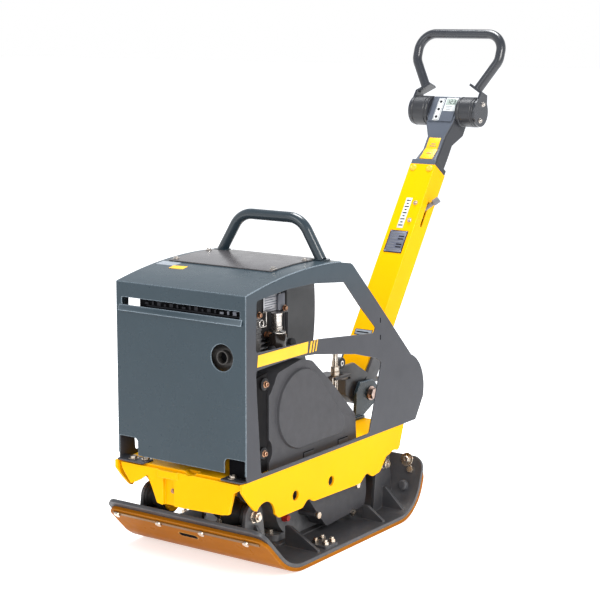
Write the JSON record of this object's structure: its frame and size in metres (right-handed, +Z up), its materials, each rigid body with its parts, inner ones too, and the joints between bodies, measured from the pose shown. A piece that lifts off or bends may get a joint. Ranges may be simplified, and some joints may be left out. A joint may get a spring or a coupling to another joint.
{
  "type": "plate compactor",
  "caption": "Reversible vibrating plate compactor with a hooded engine on a sprung frame, a bent sole with a wear mat, and a tilting drawbar with a control loop.",
  "frame": {"origin": "centre of the flat sole, on the ground plane", "axes": "+X to the machine's left (belt side), +Y to the rear, towards the operator, +Z up"},
  "size_m": [0.4, 1.1131, 1.056],
  "materials": {
    "plate_black": "dark charcoal paint with dust and wear",
    "mat_amber": "translucent amber polyurethane",
    "zinc": "zinc plated hardware",
    "steel": "bare machined steel",
    "cast_grey": "grey painted casting",
    "red_plug": "red oil plug",
    "guard_grey": "dark grey textured guard",
    "yellow": "signal yellow powder coat",
    "rubber": "black rubber",
    "hood_blue": "blue-grey powder coat",
    "side_grey": "mid-grey powder coat",
    "cover_grey": "grey cover plate",
    "cowl_black": "black cowl",
    "tank_grey": "dark grey moulded tank",
    "muffler_dark": "heat-darkened steel",
    "panel_white": "pale panel",
    "loop_black": "black coated tube",
    "lever_grey": "grey lever and knob"
  },
  "bodies": {
    "base": {"base_plate": "plate_black", "wear_mat": "mat_amber", "front_clamp_strip": "zinc", "rear_clamp_strip": "zinc", "clamp_bolts": "zinc", "pad_nuts": "zinc", "exciter_housing": "cast_grey", "exciter_cover": "cast_grey", "exciter_bearings": "steel", "exciter_bolts": "zinc", "oil_plug": "red_plug", "lower_belt_guard": "guard_grey", "buffer_nuts": "zinc"},
    "upper": {"frame_deck": "yellow", "frame_side_left": "yellow", "frame_side_right": "yellow", "front_beam": "yellow", "front_buffer_web": "yellow", "rear_buffer_web": "yellow", "rubber_buffers": "rubber", "frame_bolts": "zinc", "hood_shell": "hood_blue", "side_plate_left": "side_grey", "side_plate_right": "side_grey", "top_cover": "cover_grey", "lifting_bail": "hood_blue", "hood_bolts": "zinc", "belt_guard": "guard_grey", "guard_bracket": "plate_black", "guard_screws": "zinc", "drive_belt": "rubber", "crankcase": "cast_grey", "cylinder": "cast_grey", "fan_cowl": "cowl_black", "recoil_starter": "cowl_black", "fuel_tank": "tank_grey", "muffler": "muffler_dark", "air_filter": "cowl_black", "fuel_filter": "steel", "drawbar_bracket": "hood_blue", "pivot_bolt": "zinc", "bar_stop": "zinc", "rubber_stop": "rubber"},
    "crank": {"crankshaft": "steel", "clutch_pulley": "steel", "flywheel": "cast_grey"},
    "exciter_driven": {"driven_shaft": "steel", "driven_gear": "steel", "exciter_pulley": "cast_grey"},
    "exciter_idle": {"idle_shaft": "steel", "idle_gear": "steel"},
    "drawbar": {"drawbar_tube": "yellow", "drawbar_fork": "plate_black", "control_head": "hood_blue", "hour_meter": "panel_white"},
    "control": {"control_loop": "loop_black", "loop_arms": "loop_black"},
    "throttle": {"throttle_lever": "lever_grey"},
    "starter_grip": {"starter_grip": "rubber"},
    "fuel_cap": {"fuel_cap": "cowl_black"}
  },
  "joints": [
    {"name": "frame_bounce", "type": "slide", "parent": "base", "child": "upper", "axis": [0, 0, 1], "range_m": [-0.003, 0.003], "stiffness_N_per_m": 400000, "springref_m": 0.00215, "deforming": ["rubber_buffers", "drive_belt"]},
    {"name": "crank_spin", "type": "hinge", "parent": "upper", "child": "crank", "pos_m": [0, -0.095, 0.305], "axis": [1, 0, 0], "continuous": true},
    {"name": "driven_spin", "type": "hinge", "parent": "base", "child": "exciter_driven", "pos_m": [0, 0.075, 0.087], "axis": [1, 0, 0], "continuous": true},
    {"name": "idle_spin", "type": "hinge", "parent": "base", "child": "exciter_idle", "pos_m": [0, -0.035, 0.087], "axis": [1, 0, 0], "continuous": true},
    {"name": "drawbar_tilt", "type": "hinge", "parent": "upper", "child": "drawbar", "pos_m": [0, 0.3065, 0.252], "axis": [1, 0, 0], "range_deg": [0, 34]},
    {"name": "control_rock", "type": "hinge", "parent": "drawbar", "child": "control", "pos_m": [0, 0.72472, 0.8613], "axis": [1, 0, 0], "range_deg": [-22, 22]},
    {"name": "throttle_swing", "type": "hinge", "parent": "drawbar", "child": "throttle", "pos_m": [0.014, 0.56758, 0.62834], "axis": [0, 0.829, -0.5592], "range_deg": [-5, 95]},
    {"name": "starter_pull", "type": "slide", "parent": "upper", "child": "starter_grip", "axis": [-1, 0, 0], "range_m": [0, 0.35], "stiffness_N_per_m": 20, "springref_m": -0.05},
    {"name": "cap_turn", "type": "hinge", "parent": "upper", "child": "fuel_cap", "pos_m": [0, 0.042, 0.567], "axis": [0, 0, 1], "range_deg": [0, 180]}
  ],
  "couplings": [
    {"joint": "driven_spin", "follows": "crank_spin", "ratio": 1.1053},
    {"joint": "idle_spin", "follows": "crank_spin", "ratio": -1.1053}
  ]
}
